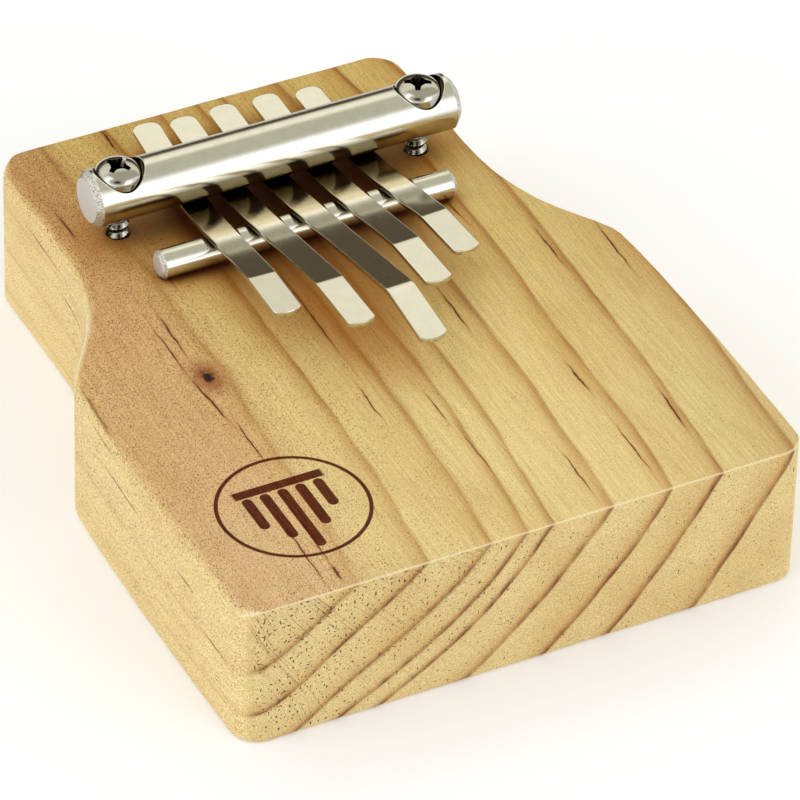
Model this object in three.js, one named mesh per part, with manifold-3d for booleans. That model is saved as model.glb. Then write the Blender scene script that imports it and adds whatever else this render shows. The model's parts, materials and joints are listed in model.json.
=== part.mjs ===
// A small five-note mbira: a solid pine soundboard, five spring-steel tines held down by a round clamp bar
// on two wood screws, and two bridge rods that the tines bear on.
// Millimetres. +Z is up, +Y points from the playing end to the neck where the hardware sits,
// and the origin is the centre of the board's underside.

import * as THREE from 'three';
import { mergeVertices } from 'three/addons/utils/BufferGeometryUtils.js';
import Module from 'manifold-3d';

// Soundboard
const BOARD_LENGTH = 136.6;
const BOARD_HEIGHT = 29.3;
const BODY_HALF_WIDTH = 55.05;
const NECK_HALF_WIDTH = 40.5;
const NECK_SHIFT = 0.5;           // the neck sits this far towards +X
const BACK_CORNER_RADIUS = 5.8;
const FRONT_CORNER_RADIUS = 4.9;
const EDGE_BEVEL = 0.3;
const FLARE_TOP_Y = 38;           // where each side leaves the neck
const FLARE_MID_Y = 8.7;          // where it turns from hollow to full
const FLARE_END_Y = -2;           // where it runs on into the wide body
const LEFT_FLARE_SHIFT = 1.5;     // the -X side flares this much nearer to the neck
const FLARE_MID_SHARE = 0.6;      // how much of the flare is reached at FLARE_MID_Y
const FLARE_END_SHARE = 0.943;    // and at FLARE_END_Y
const FLARE_DIRECTION = new THREE.Vector2(0.573, -0.82);
const WIDEST_Y = -36;
const FRONT_TAPER = 0.35;         // each side draws in this much from there to the front
const NECK_HANDLE = 12;           // the curves' handles: how far each follows its end's direction
const MID_HANDLES = { before: 10, after: 7.5 };
const END_HANDLES = { before: new THREE.Vector2(-0.28, 3.5), after: new THREE.Vector2(0.6, -9) };
const WIDEST_HANDLES = { before: 16, after: 14 };
const SIDE_CURVE_STEPS = 8;
const PILOT_EXTRA_DEPTH = 1;

// Clearances between pieces that touch on the real object
const CLEARANCE = 0.3;
const REST_GAP = 0.05;

// Tines: one strip of spring steel each, measured on its top surface above the board
const TINE_WIDTH = 5.34;
const TINE_THICKNESS = 0.98;
const REAR_ROD_Y = 49.11;
const TINE_LOW_Y = 39.29;         // where the clamp bar presses the strip lowest
const FRONT_ROD_Y = 23.28;
const TOP_AT_REAR_ROD = 3.96;
const TOP_AT_FRONT_ROD = 5.67;
const SAG = 1.1;                  // how far the bar bends the strip below the line between the rods
const PROFILE_STEP = 1.6;
const BEND_RADIUS = 2.5;
const TIP_ARC_RADIUS = 4.6;
const REAR_CORNER_RADIUS = 1.9;
const REAR_ARC_RADIUS = 6;
const TINE_ORIGIN_Y = 29.46;      // each strip's x is given here, and it is turned about this point
const SPLIT_Y = 19.9;             // where the held root ends and the free tongue begins
const SPLIT_GAP = 0.3;

// One entry per tine, from -X to +X: x and turn about Z in degrees, rear end, bend, tip, slope of the tip
const TINES = [
  { x: -14.52, turn: -2.68, rearY: 60.9, bendY: 5.6, tipY: -6.75, tipSlope: 3.1 },
  { x: -6.24, turn: -0.14, rearY: 59.9, bendY: -2.5, tipY: -16.2, tipSlope: 0.8 },
  { x: 2.47, turn: 1.05, rearY: 60.2, bendY: -11.2, tipY: -24.95, tipSlope: -8.8 },
  { x: 11.2, turn: 1.31, rearY: 59.9, bendY: 3.3, tipY: -9.8, tipSlope: 0.3 },
  { x: 20.05, turn: 2.62, rearY: 58.7, bendY: 10.2, tipY: -2.5, tipSlope: 1.0 },
];

// Clamp bar
const BAR_RADIUS = 5.34;
const BAR_AXIS_Y = 38.6;
const BAR_AXIS_HEIGHT = 9.08;     // above the board
const BAR_LEFT = -34.8;
const BAR_RIGHT = 38.8;
const BAR_CHAMFER = 1.2;
const POCKET_RADIUS = 4.93;
const POCKET_SHIFT = new THREE.Vector2(0.2, 0.1);  // the bar sits a little off centre on its screws
const THROUGH_HOLE_RADIUS = 2.9;
const POCKET_FLOOR = 11.4;        // above the board

// Clamp screws
const SCREW_X = { left: -28.5, right: 31.8 };
const SCREW_HEAD_RADIUS = 4.38;
const SCREW_HEAD_BOTTOM = 11.7;   // above the board
const SCREW_HEAD_RIM = 12.9;
const SCREW_HEAD_TOP = 15.4;
const SCREW_LENGTH = 25;
const THREAD_RADIUS = 2.08;
const THREAD_ROOT_RADIUS = 1.55;
const THREAD_PITCH = 2;
const SHANK_LENGTH = 5;
const POINT_LENGTH = 4;
const RECESS_SPAN = 5;
const RECESS_ARM = 1.15;
const RECESS_DEPTH = 2;

// Bridge rods
const FRONT_ROD_RADIUS = 2.72;
const FRONT_ROD_LEFT = -27.8;
const FRONT_ROD_RIGHT = 31.4;
const REAR_ROD_RADIUS = 1.35;
const REAR_ROD_LEFT = -22;
const REAR_ROD_RIGHT = 26;
const ROD_CHAMFER = 0.75;
const SLOT_WIDTH = 7;
const SLOT_SHIFT = -0.5;          // each slot reaches a little further out on the -X side of its tine

const ROUND_SIDES = 32;
const SCREW_SIDES = 24;
const DOME_STEPS = 6;
const PLAN_CURVE_STEPS = 6;
const BEVEL_STEPS = 2;
const CUT_MARGIN = 1;             // how far a cutter reaches past what it cuts
const FAR = 100;                  // beyond the whole part
const WELD_DISTANCE = 1e-4;

const wasm = await Module();
wasm.setup();

// Manifold booleans on three.js geometry

function toSolid(geometry) {
  const bare = geometry.clone();
  bare.deleteAttribute('normal');
  bare.deleteAttribute('uv');
  const merged = mergeVertices(bare, WELD_DISTANCE);
  return new wasm.Manifold(new wasm.Mesh({
    numProp: 3,
    vertProperties: new Float32Array(merged.attributes.position.array),
    triVerts: new Uint32Array(merged.index.array),
  }));
}

function toGeometry(solid) {
  const mesh = solid.getMesh();
  const geometry = new THREE.BufferGeometry();
  geometry.setAttribute('position', new THREE.BufferAttribute(new Float32Array(mesh.vertProperties), 3));
  geometry.setIndex(new THREE.BufferAttribute(new Uint32Array(mesh.triVerts), 1));
  geometry.computeVertexNormals();
  return geometry;
}

function subtractAll(geometry, cutters) {
  const solid = cutters.reduce((left, cutter) => left.subtract(toSolid(cutter)), toSolid(geometry));
  return toGeometry(solid);
}

// Simple shapes

// A chamfered rod along X from `left` to `right`, centred on y and z 0.
function rodGeometry(radius, left, right, chamfer) {
  const profile = [
    new THREE.Vector2(0, left),
    new THREE.Vector2(radius - chamfer, left),
    new THREE.Vector2(radius, left + chamfer),
    new THREE.Vector2(radius, right - chamfer),
    new THREE.Vector2(radius - chamfer, right),
    new THREE.Vector2(0, right),
  ];
  const geometry = new THREE.LatheGeometry(profile, ROUND_SIDES);
  geometry.rotateZ(-Math.PI / 2);
  return geometry;
}

// An upright round cutter between two heights.
function uprightCylinder(radius, x, y, bottom, top) {
  const geometry = new THREE.CylinderGeometry(radius, radius, top - bottom, ROUND_SIDES);
  geometry.rotateX(Math.PI / 2);
  geometry.translate(x, y, (bottom + top) / 2);
  return geometry;
}

function makeMesh(name, geometry, material) {
  const mesh = new THREE.Mesh(geometry, material);
  mesh.name = name;
  return mesh;
}

// Materials

function pineMaterial() {
  return new THREE.MeshStandardMaterial({ color: 0xd8b478, roughness: 0.6, metalness: 0 });
}

function barPlateMaterial() {
  return new THREE.MeshStandardMaterial({ color: 0xc9c7bb, roughness: 0.18, metalness: 1 });
}

function rodPlateMaterial() {
  return new THREE.MeshStandardMaterial({ color: 0xc2bfae, roughness: 0.25, metalness: 1 });
}

function screwPlateMaterial() {
  return new THREE.MeshStandardMaterial({ color: 0xb4b2a8, roughness: 0.15, metalness: 1 });
}

function tineSteelMaterial() {
  return new THREE.MeshStandardMaterial({ color: 0xcfccc0, roughness: 0.12, metalness: 1 });
}

// Soundboard

// One side of the plan outline, from the back corner to the front corner, for side +1 (+X) or -1.
function sideOutline(side) {
  const halfLength = BOARD_LENGTH / 2;
  const neck = NECK_HALF_WIDTH + side * NECK_SHIFT;
  const flare = BODY_HALF_WIDTH - neck;
  const shift = side < 0 ? LEFT_FLARE_SHIFT : 0;
  const mid = new THREE.Vector2(neck + FLARE_MID_SHARE * flare, FLARE_MID_Y + shift);
  const midIn = mid.clone().addScaledVector(FLARE_DIRECTION, -MID_HANDLES.before);
  const midOut = mid.clone().addScaledVector(FLARE_DIRECTION, MID_HANDLES.after);
  const end = new THREE.Vector2(neck + FLARE_END_SHARE * flare, FLARE_END_Y + shift);
  const endIn = end.clone().add(END_HANDLES.before);
  const endOut = end.clone().add(END_HANDLES.after);
  const widest = new THREE.Vector2(BODY_HALF_WIDTH, WIDEST_Y);
  const frontX = BODY_HALF_WIDTH - FRONT_TAPER;
  const back = BACK_CORNER_RADIUS;
  const front = FRONT_CORNER_RADIUS;
  const path = new THREE.Path();
  path.absarc(neck - back, halfLength - back, back, Math.PI / 2, 0, true);
  path.lineTo(neck, FLARE_TOP_Y);
  path.bezierCurveTo(neck, FLARE_TOP_Y - NECK_HANDLE, midIn.x, midIn.y, mid.x, mid.y);
  path.bezierCurveTo(midOut.x, midOut.y, endIn.x, endIn.y, end.x, end.y);
  path.bezierCurveTo(endOut.x, endOut.y, widest.x, widest.y + WIDEST_HANDLES.before, widest.x, widest.y);
  path.quadraticCurveTo(widest.x, widest.y - WIDEST_HANDLES.after, frontX, front - halfLength);
  path.absarc(frontX - front, front - halfLength, front, 0, -Math.PI / 2, true);
  return path.getPoints(SIDE_CURVE_STEPS).map((point) => new THREE.Vector2(side * point.x, point.y));
}

function soundboard() {
  const outline = new THREE.Shape([...sideOutline(-1), ...sideOutline(1).reverse()]);
  const board = new THREE.ExtrudeGeometry(outline, {
    depth: BOARD_HEIGHT - 2 * EDGE_BEVEL,
    bevelSize: EDGE_BEVEL,
    bevelThickness: EDGE_BEVEL,
    bevelOffset: -EDGE_BEVEL,
    bevelSegments: BEVEL_STEPS,
  });
  board.translate(0, 0, EDGE_BEVEL);
  const holeBottom = BOARD_HEIGHT + SCREW_HEAD_BOTTOM - SCREW_LENGTH - PILOT_EXTRA_DEPTH;
  const pilotHoles = Object.values(SCREW_X).map((x) => (
    uprightCylinder(THREAD_RADIUS + CLEARANCE, x, BAR_AXIS_Y, holeBottom, BOARD_HEIGHT + CUT_MARGIN)
  ));
  return makeMesh('soundboard', subtractAll(board, pilotHoles), pineMaterial());
}

// Clamp bar: round, with a through hole and a round pocket for each screw

function clampBar() {
  const top = BAR_RADIUS + CUT_MARGIN;
  const cutters = Object.values(SCREW_X).map((x) => x + POCKET_SHIFT.x).flatMap((x) => [
    uprightCylinder(THROUGH_HOLE_RADIUS, x, POCKET_SHIFT.y, -top, top),
    uprightCylinder(POCKET_RADIUS, x, POCKET_SHIFT.y, POCKET_FLOOR - BAR_AXIS_HEIGHT, top),
  ]);
  const geometry = subtractAll(rodGeometry(BAR_RADIUS, BAR_LEFT, BAR_RIGHT, BAR_CHAMFER), cutters);
  const mesh = makeMesh('clamp_bar', geometry, barPlateMaterial());
  mesh.position.set(0, BAR_AXIS_Y, BOARD_HEIGHT + BAR_AXIS_HEIGHT);
  return mesh;
}

// Clamp screws: domed pan head with a cross recess, threaded shank and point.
// The profile's heights are measured from the underside of the head.

function screwProfile() {
  const headTop = SCREW_HEAD_TOP - SCREW_HEAD_BOTTOM;
  const headRim = SCREW_HEAD_RIM - SCREW_HEAD_BOTTOM;
  const dome = headTop - headRim;
  const profile = [new THREE.Vector2(0, -SCREW_LENGTH)];
  const threadEnd = -SCREW_LENGTH + POINT_LENGTH;
  for (let z = threadEnd; z < -SHANK_LENGTH; z += THREAD_PITCH) {
    profile.push(new THREE.Vector2(THREAD_ROOT_RADIUS, z));
    profile.push(new THREE.Vector2(THREAD_RADIUS, z + THREAD_PITCH / 2));
  }
  profile.push(new THREE.Vector2(THREAD_ROOT_RADIUS, -SHANK_LENGTH + THREAD_PITCH / 2));
  profile.push(new THREE.Vector2(THREAD_ROOT_RADIUS, 0));
  profile.push(new THREE.Vector2(SCREW_HEAD_RADIUS, 0));
  for (let step = 0; step < DOME_STEPS; step += 1) {
    const angle = (step / DOME_STEPS) * Math.PI / 2;
    profile.push(new THREE.Vector2(SCREW_HEAD_RADIUS * Math.cos(angle), headRim + dome * Math.sin(angle)));
  }
  profile.push(new THREE.Vector2(0, headTop));
  return profile;
}

function clampScrew(side) {
  const body = new THREE.LatheGeometry(screwProfile(), SCREW_SIDES);
  body.rotateX(Math.PI / 2);
  const headTop = SCREW_HEAD_TOP - SCREW_HEAD_BOTTOM;
  const arms = [0, Math.PI / 2].map((angle) => {
    const arm = new THREE.BoxGeometry(RECESS_SPAN, RECESS_ARM, 2 * RECESS_DEPTH);
    arm.rotateZ(angle);
    arm.translate(0, 0, headTop);
    return arm;
  });
  const mesh = makeMesh(`clamp_screw_${side}`, subtractAll(body, arms), screwPlateMaterial());
  mesh.position.set(SCREW_X[side], BAR_AXIS_Y, BOARD_HEIGHT + SCREW_HEAD_BOTTOM);
  return mesh;
}

// Bridge rods

// Where a turned tine's centreline is at y.
function centreX(tine, y) {
  return tine.x + Math.tan(THREE.MathUtils.degToRad(tine.turn)) * (TINE_ORIGIN_Y - y);
}

// The front rod is milled flat under each tine, at the tine's slope, and stays full round between them.
function frontBridgeRod() {
  const floor = TOP_AT_FRONT_ROD - TINE_THICKNESS - CLEARANCE - FRONT_ROD_RADIUS - REST_GAP;
  const slots = TINES.map((tine) => {
    const slot = new THREE.BoxGeometry(SLOT_WIDTH, 4 * FRONT_ROD_RADIUS, FRONT_ROD_RADIUS);
    slot.translate(0, 0, FRONT_ROD_RADIUS / 2);
    slot.rotateX(-Math.atan(FRONT_SLOPE));
    slot.translate(centreX(tine, FRONT_ROD_Y) + SLOT_SHIFT, 0, floor);
    return slot;
  });
  const rod = rodGeometry(FRONT_ROD_RADIUS, FRONT_ROD_LEFT, FRONT_ROD_RIGHT, ROD_CHAMFER);
  const mesh = makeMesh('front_bridge_rod', subtractAll(rod, slots), rodPlateMaterial());
  mesh.position.set(0, FRONT_ROD_Y, BOARD_HEIGHT + FRONT_ROD_RADIUS + REST_GAP);
  return mesh;
}

function rearBridgeRod() {
  const geometry = rodGeometry(REAR_ROD_RADIUS, REAR_ROD_LEFT, REAR_ROD_RIGHT, ROD_CHAMFER / 2);
  const mesh = makeMesh('rear_bridge_rod', geometry, rodPlateMaterial());
  mesh.position.set(0, REAR_ROD_Y, BOARD_HEIGHT + REAR_ROD_RADIUS + REST_GAP);
  return mesh;
}

// Tines

// Height of a strip's top surface above the board behind its bend: a beam on two rods, pressed down between
// them by SAG, with straight free ends. u runs forward from the rear rod.
const SPAN_REAR = REAR_ROD_Y - TINE_LOW_Y;
const SPAN_FRONT = TINE_LOW_Y - FRONT_ROD_Y;
const SPAN = SPAN_REAR + SPAN_FRONT;
const LOAD = (SAG * 3 * SPAN) / (SPAN_REAR ** 2 * SPAN_FRONT ** 2);
const CHORD = (TOP_AT_FRONT_ROD - TOP_AT_REAR_ROD) / SPAN;
const REAR_SLOPE = CHORD - (LOAD * SPAN_REAR * SPAN_FRONT * (SPAN + SPAN_FRONT)) / (6 * SPAN);
const FRONT_SLOPE = CHORD + (LOAD * SPAN_REAR * SPAN_FRONT * (SPAN + SPAN_REAR)) / (6 * SPAN);

// How far the strip is bent down at u from one rod, where the bar is `farSpan` from the other rod.
function deflection(u, farSpan) {
  return (LOAD * farSpan * u * (SPAN ** 2 - farSpan ** 2 - u ** 2)) / (6 * SPAN);
}

function heldHeight(u) {
  if (u < 0) {
    return TOP_AT_REAR_ROD + REAR_SLOPE * u;
  }
  if (u > SPAN) {
    return TOP_AT_FRONT_ROD + FRONT_SLOPE * (u - SPAN);
  }
  const bend = u <= SPAN_REAR ? deflection(u, SPAN_FRONT) : deflection(SPAN - u, SPAN_REAR);
  return TOP_AT_REAR_ROD + CHORD * u - bend;
}

// Height of the top surface at y, bend and tip included. The bend is an arc of BEND_RADIUS.
function topHeight(tine, y) {
  const tipSlope = Math.tan(THREE.MathUtils.degToRad(tine.tipSlope));
  const bendHeight = heldHeight(REAR_ROD_Y - tine.bendY);
  const halfBend = (BEND_RADIUS * (FRONT_SLOPE - tipSlope)) / 2;
  const ahead = tine.bendY - y;
  if (ahead < -halfBend) {
    return heldHeight(REAR_ROD_Y - y);
  }
  if (ahead > halfBend) {
    return bendHeight + tipSlope * ahead;
  }
  return bendHeight + FRONT_SLOPE * ahead - (ahead + halfBend) ** 2 / (2 * BEND_RADIUS);
}

// The strip seen from its side, extruded across its width; v is y measured from the strip's own origin.
function stripGeometry(tine) {
  const stations = [];
  const from = tine.rearY + CUT_MARGIN;
  const to = tine.tipY - CUT_MARGIN;
  const count = Math.ceil((from - to) / PROFILE_STEP);
  for (let i = 0; i <= count; i += 1) {
    stations.push(THREE.MathUtils.lerp(from, to, i / count));
  }
  const top = stations.map((y) => new THREE.Vector2(y - TINE_ORIGIN_Y, topHeight(tine, y)));
  const bottom = stations.map((y, i) => {
    const before = top[Math.max(i - 1, 0)];
    const after = top[Math.min(i + 1, count)];
    const along = after.clone().sub(before).normalize();
    return new THREE.Vector2(top[i].x + along.y * TINE_THICKNESS, top[i].y + along.x * TINE_THICKNESS);
  });
  const outline = new THREE.Shape([...top, ...bottom.reverse()]);
  const geometry = new THREE.ExtrudeGeometry(outline, { depth: TINE_WIDTH, bevelEnabled: false });
  geometry.translate(0, 0, -TINE_WIDTH / 2);
  geometry.rotateX(Math.PI / 2);
  geometry.rotateZ(Math.PI / 2);
  return geometry;
}

// The strip's plan: a shallow arc across the tip, and a flatter arc with round corners at the rear.
function planShape(tine) {
  const half = TINE_WIDTH / 2;
  const tip = tine.tipY - TINE_ORIGIN_Y;
  const rear = tine.rearY - TINE_ORIGIN_Y;
  const spread = Math.asin(half / TIP_ARC_RADIUS);
  const corner = REAR_CORNER_RADIUS;
  const rearDrop = REAR_ARC_RADIUS - Math.sqrt(REAR_ARC_RADIUS ** 2 - (half - corner) ** 2);
  const shape = new THREE.Shape();
  shape.absarc(0, tip + TIP_ARC_RADIUS, TIP_ARC_RADIUS, -Math.PI / 2 - spread, -Math.PI / 2 + spread, false);
  shape.lineTo(half, rear - rearDrop - corner);
  shape.absarc(half - corner, rear - rearDrop - corner, corner, 0, Math.PI / 2, false);
  shape.absarc(corner - half, rear - rearDrop - corner, corner, Math.PI / 2, Math.PI, false);
  return shape;
}

function planCutter(tine) {
  const cutter = new THREE.ExtrudeGeometry(planShape(tine), {
    depth: FAR,
    bevelEnabled: false,
    curveSegments: PLAN_CURVE_STEPS,
  });
  cutter.translate(0, 0, -FAR / 2);
  return cutter;
}

function halfSpace(fromY, toY) {
  const box = new THREE.BoxGeometry(4 * TINE_WIDTH, toY - fromY, FAR);
  box.translate(0, (fromY + toY) / 2 - TINE_ORIGIN_Y, 0);
  return box;
}

function placedTinePiece(name, tine, solid) {
  const mesh = makeMesh(name, toGeometry(solid), tineSteelMaterial());
  mesh.position.set(tine.x, TINE_ORIGIN_Y, BOARD_HEIGHT);
  mesh.rotation.z = THREE.MathUtils.degToRad(tine.turn);
  return mesh;
}

function tinePieces(tine, index) {
  const strip = toSolid(stripGeometry(tine)).intersect(toSolid(planCutter(tine)));
  const root = strip.intersect(toSolid(halfSpace(SPLIT_Y, FAR)));
  const tongue = strip.intersect(toSolid(halfSpace(-FAR, SPLIT_Y - SPLIT_GAP)));
  return [
    placedTinePiece(`tine_root_${index + 1}`, tine, root),
    placedTinePiece(`tine_tongue_${index + 1}`, tine, tongue),
  ];
}

const mbira = new THREE.Group();
mbira.add(soundboard(), frontBridgeRod(), rearBridgeRod(), clampBar());
mbira.add(clampScrew('left'), clampScrew('right'));
mbira.add(...TINES.flatMap(tinePieces));

export default mbira;
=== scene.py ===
"""A five-note mbira: pine board, clamp bar on two screws, two bridge rods and five spring-steel tines.

Lengths in this script are millimetres in the part's frame, and go to metres where a mesh is made.
"""

import json
import math

import bmesh
import bpy
import numpy as np
from mathutils import Matrix, Vector


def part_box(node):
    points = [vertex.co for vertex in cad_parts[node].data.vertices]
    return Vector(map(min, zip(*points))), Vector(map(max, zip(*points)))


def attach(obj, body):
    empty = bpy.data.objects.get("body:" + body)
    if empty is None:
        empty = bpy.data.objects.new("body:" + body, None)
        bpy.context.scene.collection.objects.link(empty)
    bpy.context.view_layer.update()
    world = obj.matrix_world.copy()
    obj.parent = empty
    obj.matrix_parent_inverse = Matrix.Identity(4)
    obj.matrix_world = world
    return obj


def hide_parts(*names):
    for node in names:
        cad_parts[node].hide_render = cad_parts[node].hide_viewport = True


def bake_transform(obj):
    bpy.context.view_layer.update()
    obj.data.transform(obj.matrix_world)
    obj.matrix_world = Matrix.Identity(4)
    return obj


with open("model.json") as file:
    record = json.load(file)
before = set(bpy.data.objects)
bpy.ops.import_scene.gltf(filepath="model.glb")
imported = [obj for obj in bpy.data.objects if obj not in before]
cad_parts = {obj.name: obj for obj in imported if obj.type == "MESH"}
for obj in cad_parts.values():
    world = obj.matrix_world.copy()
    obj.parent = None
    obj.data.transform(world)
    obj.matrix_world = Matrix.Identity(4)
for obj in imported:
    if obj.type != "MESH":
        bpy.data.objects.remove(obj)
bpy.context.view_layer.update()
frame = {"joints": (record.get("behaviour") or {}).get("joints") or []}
MM = 0.001


# Sizes read from the frame


def box_mm(node):
    """A CAD node's lowest and highest corners, in millimetres."""
    low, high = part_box(node)
    return np.array(low) / MM, np.array(high) / MM


def joint(name):
    """A joint's record in the frame."""
    return next(j for j in frame["joints"] if j["name"] == name)


BOARD_HIGH = box_mm("soundboard")[1]
TOP = BOARD_HIGH[2]
BAR_LOW, BAR_HIGH = box_mm("clamp_bar")
BAR_RADIUS = (BAR_HIGH[1] - BAR_LOW[1]) / 2
BAR_Y = (BAR_HIGH[1] + BAR_LOW[1]) / 2
BAR_Z = BAR_LOW[2] + BAR_RADIUS
ROD_LOW, ROD_HIGH = box_mm("front_bridge_rod")
REAR_ROD_LOW, REAR_ROD_HIGH = box_mm("rear_bridge_rod")
SCREWS = {}
for side, degrees in (("left", 36.5), ("right", -27)):
    low, high = box_mm(f"clamp_screw_{side}")
    middle = (low + high) / 2
    SCREWS[side] = {
        "x": middle[0],
        "y": middle[1],
        "tip": low[2],
        "top": high[2],
        "turn": math.radians(degrees),
    }

# Sizes that the frame's boxes don't hold. They are the CAD's, but for a few that are a fraction of a millimetre
# off or rounder: the tines' bend and tip corners, the flats' room, the pockets and the thread's root.

NECK_HALF_WIDTH = 40.5
NECK_SHIFT = 0.5
BACK_CORNER = 5.8
FRONT_CORNER = 4.9
FLARE_TOP_Y = 38
FLARE_MID_Y = 8.7
FLARE_END_Y = -2
LEFT_FLARE_SHIFT = 1.5
FLARE_MID_SHARE = 0.6
FLARE_END_SHARE = 0.943
FLARE_DIRECTION = np.array([0.573, -0.82])
WIDEST_Y = -36
FRONT_TAPER = 0.35
# The outline curves' handles, in y or as x and y offsets
NECK_HANDLES_Y = (54, 46)
FLARE_TOP_HANDLE = 12
FLARE_MID_HANDLES = (10, 7.5)
FLARE_END_HANDLES = ((-0.28, 3.5), (0.6, -9))
WIDEST_HANDLES = (16, -9.3, -14)

TINE_WIDTH = 5.34
TINE_THICKNESS = 0.98
REAR_ROD_Y = 49.11
TINE_LOW_Y = 39.29
FRONT_ROD_Y = 23.28
TOP_AT_REAR_ROD = 3.96
TOP_AT_FRONT_ROD = 5.67
SAG = 1.1
BEND_RADIUS = 4
TIP_ARC_RADIUS = 4.6
TIP_CORNER = 1.1
REAR_CORNER = 1.9
REAR_ARC_RADIUS = 6
TINES = [
    {"bend": 5.6, "tip_slope": 3.1},
    {"bend": -2.5, "tip_slope": 0.8},
    {"bend": -11.2, "tip_slope": -8.8},
    {"bend": 3.3, "tip_slope": 0.3},
    {"bend": 10.2, "tip_slope": 1.0},
]

BAR_CHAMFER = 1.2
ROD_CHAMFER = 0.75
REAR_ROD_CHAMFER = 0.38
FLAT_HALF_WIDTH = 3.5
FLAT_SHIFT = -0.5
SLIDE_ROOM = 0.05
POCKET_RADIUS = 4.8
POCKET_SHIFT = (0.22, 0.2)
POCKET_FLOOR = TOP + 11.4
THROUGH_HOLE_RADIUS = 2.9
HEAD_RADIUS = 4.38
HEAD_BOTTOM = TOP + 11.7
HEAD_RIM = TOP + 12.9
THREAD_RADIUS = 2.08
THREAD_ROOT_RADIUS = 1.5
THREAD_PITCH = 2
PILOT_RADIUS = 2.38

KNOT = (-32, -6.5)
EMBLEM = (-34, -45)
EMBLEM_RADIUS = 13.4
EMBLEM_HALF_LENGTHS = (3.4, 5.4, 7.4, 4.9, 2.9)
EMBLEM_BAR_PITCH = 3.4
EMBLEM_BAR_TOP = 4.2
EMBLEM_CROSS_Y = 6.4


# Mesh helpers


def add_object(name, data):
    """A new object with this data, in the scene."""
    made = bpy.data.objects.new(name, data)
    bpy.context.scene.collection.objects.link(made)
    return made


def make_object(name, vertices, faces, sharp=35):
    """A smooth-shaded object from millimetre points, with edges sharper than `sharp` degrees left crisp."""
    mesh = bpy.data.meshes.new(name)
    mesh.from_pydata([tuple(float(c) * MM for c in v) for v in vertices], [], faces)
    mesh.validate()
    finish_shading(mesh, sharp)
    return add_object(name, mesh)


def finish_shading(mesh, sharp):
    """Smooth shading with crisp edges above `sharp` degrees."""
    mesh.polygons.foreach_set("use_smooth", [True] * len(mesh.polygons))
    mesh.set_sharp_from_angle(angle=math.radians(sharp))


def loft(rings, cap_start=True, cap_end=True):
    """Vertices and faces of a closed skin through rings of equal length, capped by fans where asked."""
    count = len(rings[0])
    vertices = [p for ring in rings for p in ring]
    faces = []
    for r in range(len(rings) - 1):
        for i in range(count):
            j = (i + 1) % count
            a, b = r * count, (r + 1) * count
            faces.append((a + i, a + j, b + j, b + i))
    if cap_start:
        faces.append(tuple(reversed(range(count))))
    if cap_end:
        last = (len(rings) - 1) * count
        faces.append(tuple(last + i for i in range(count)))
    return vertices, faces


def bezier(p0, p1, p2, p3, steps):
    """Points of a cubic Bezier after its first one."""
    t = np.linspace(0, 1, steps + 1)[1:, None]
    p0, p1, p2, p3 = (np.array(p, float) for p in (p0, p1, p2, p3))
    return (1 - t) ** 3 * p0 + 3 * t * (1 - t) ** 2 * p1 + 3 * t**2 * (1 - t) * p2 + t**3 * p3


def arc(centre, radius, start, end, steps):
    """Points of an arc between two angles in degrees."""
    angles = np.radians(np.linspace(start, end, steps + 1))
    return np.array(centre) + radius * np.c_[np.cos(angles), np.sin(angles)]


def full_turn(count):
    """Evenly spaced angles once round."""
    return np.linspace(0, 2 * math.pi, count, endpoint=False)


def cut(target, cutters, name, sharp=35):
    """Takes the cutters away from the target, and leaves one object."""
    for cutter in cutters:
        modifier = target.modifiers.new("cut", "BOOLEAN")
        modifier.operation = "DIFFERENCE"
        modifier.solver = "EXACT"
        modifier.object = cutter
    bpy.context.view_layer.update()
    evaluated = target.evaluated_get(bpy.context.evaluated_depsgraph_get())
    mesh = bpy.data.meshes.new_from_object(evaluated)
    mesh.name = name
    for extra in [target, *cutters]:
        bpy.data.objects.remove(extra)
    finish_shading(mesh, sharp)
    return add_object(name, mesh)


# Node helpers


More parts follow.
